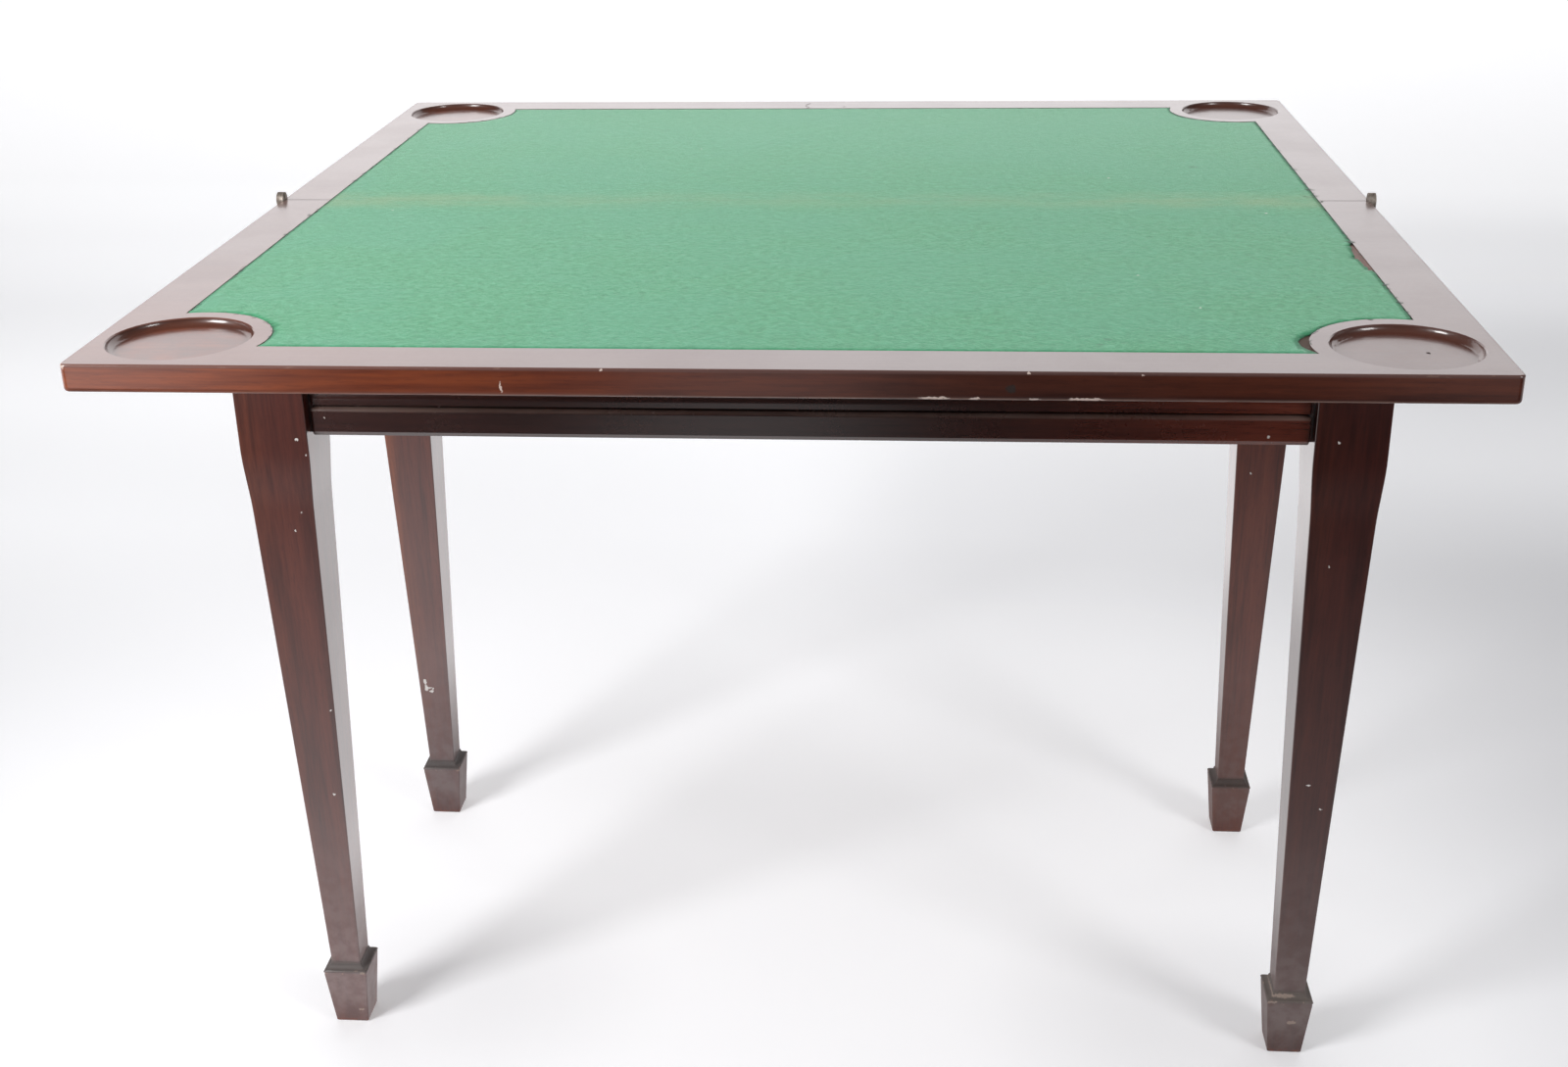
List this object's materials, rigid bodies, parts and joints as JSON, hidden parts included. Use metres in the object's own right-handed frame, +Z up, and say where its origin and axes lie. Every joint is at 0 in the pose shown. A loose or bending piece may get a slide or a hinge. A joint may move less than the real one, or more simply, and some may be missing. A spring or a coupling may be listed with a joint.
{
  "type": "flip-top card table",
  "caption": "Fold-over card table: a baize-lined hinged top with corner counter wells slides on an aproned frame with square tapered legs and spade feet.",
  "frame": {"origin": "on the floor under the middle of the open top", "axes": "+X along the hinge line to the right, +Y from the sitter at the front to the back, +Z up"},
  "size_m": [0.9222, 0.914, 0.7146],
  "materials": {
    "top_mahogany": "polished mahogany, satin to glossy, worn",
    "frame_mahogany": "polished dark mahogany, satin, scuffed",
    "inner_beech": "plain unpolished wood",
    "baize_cloth": "felted wool baize, worn along the fold",
    "hinge_brass": "aged dull brass",
    "screw_steel": "dull steel"
  },
  "bodies": {
    "frame": {"leg_front_left": "frame_mahogany", "leg_front_right": "frame_mahogany", "leg_back_left": "frame_mahogany", "leg_back_right": "frame_mahogany", "rail_front": "frame_mahogany", "rail_back": "frame_mahogany", "rail_left": "frame_mahogany", "rail_right": "frame_mahogany", "moulding_lower_front": "frame_mahogany", "moulding_lower_back": "frame_mahogany", "moulding_lower_left": "frame_mahogany", "moulding_lower_right": "frame_mahogany", "moulding_upper_front": "frame_mahogany", "moulding_upper_back": "frame_mahogany", "moulding_upper_left": "frame_mahogany", "moulding_upper_right": "frame_mahogany", "corner_brace_front_left": "inner_beech", "corner_brace_front_right": "inner_beech", "corner_brace_back_left": "inner_beech", "corner_brace_back_right": "inner_beech", "centre_bearer": "inner_beech", "slide_guide_left": "inner_beech", "slide_guide_right": "inner_beech", "guide_screws": "screw_steel", "brace_screws": "screw_steel"},
    "sliding_leaf": {"front_leaf": "top_mahogany", "baize_front_half": "baize_cloth", "slide_runner_left": "inner_beech", "slide_runner_right": "inner_beech", "runner_screws": "screw_steel", "hinge_front_left": "hinge_brass", "hinge_front_right": "hinge_brass", "hinge_pin_left": "hinge_brass", "hinge_pin_right": "hinge_brass", "hinge_screws_front": "hinge_brass"},
    "flap": {"back_leaf": "top_mahogany", "baize_back_half": "baize_cloth", "hinge_back_left": "hinge_brass", "hinge_back_right": "hinge_brass", "hinge_screws_back": "hinge_brass"}
  },
  "joints": [
    {"name": "top_slide", "type": "slide", "parent": "frame", "child": "sliding_leaf", "axis": [0, 1, 0], "range_m": [0, 0.2285]},
    {"name": "flap_hinge", "type": "hinge", "parent": "sliding_leaf", "child": "flap", "pos_m": [0, 0, 0.70815], "axis": [1, 0, 0], "range_deg": [0, 180]}
  ]
}
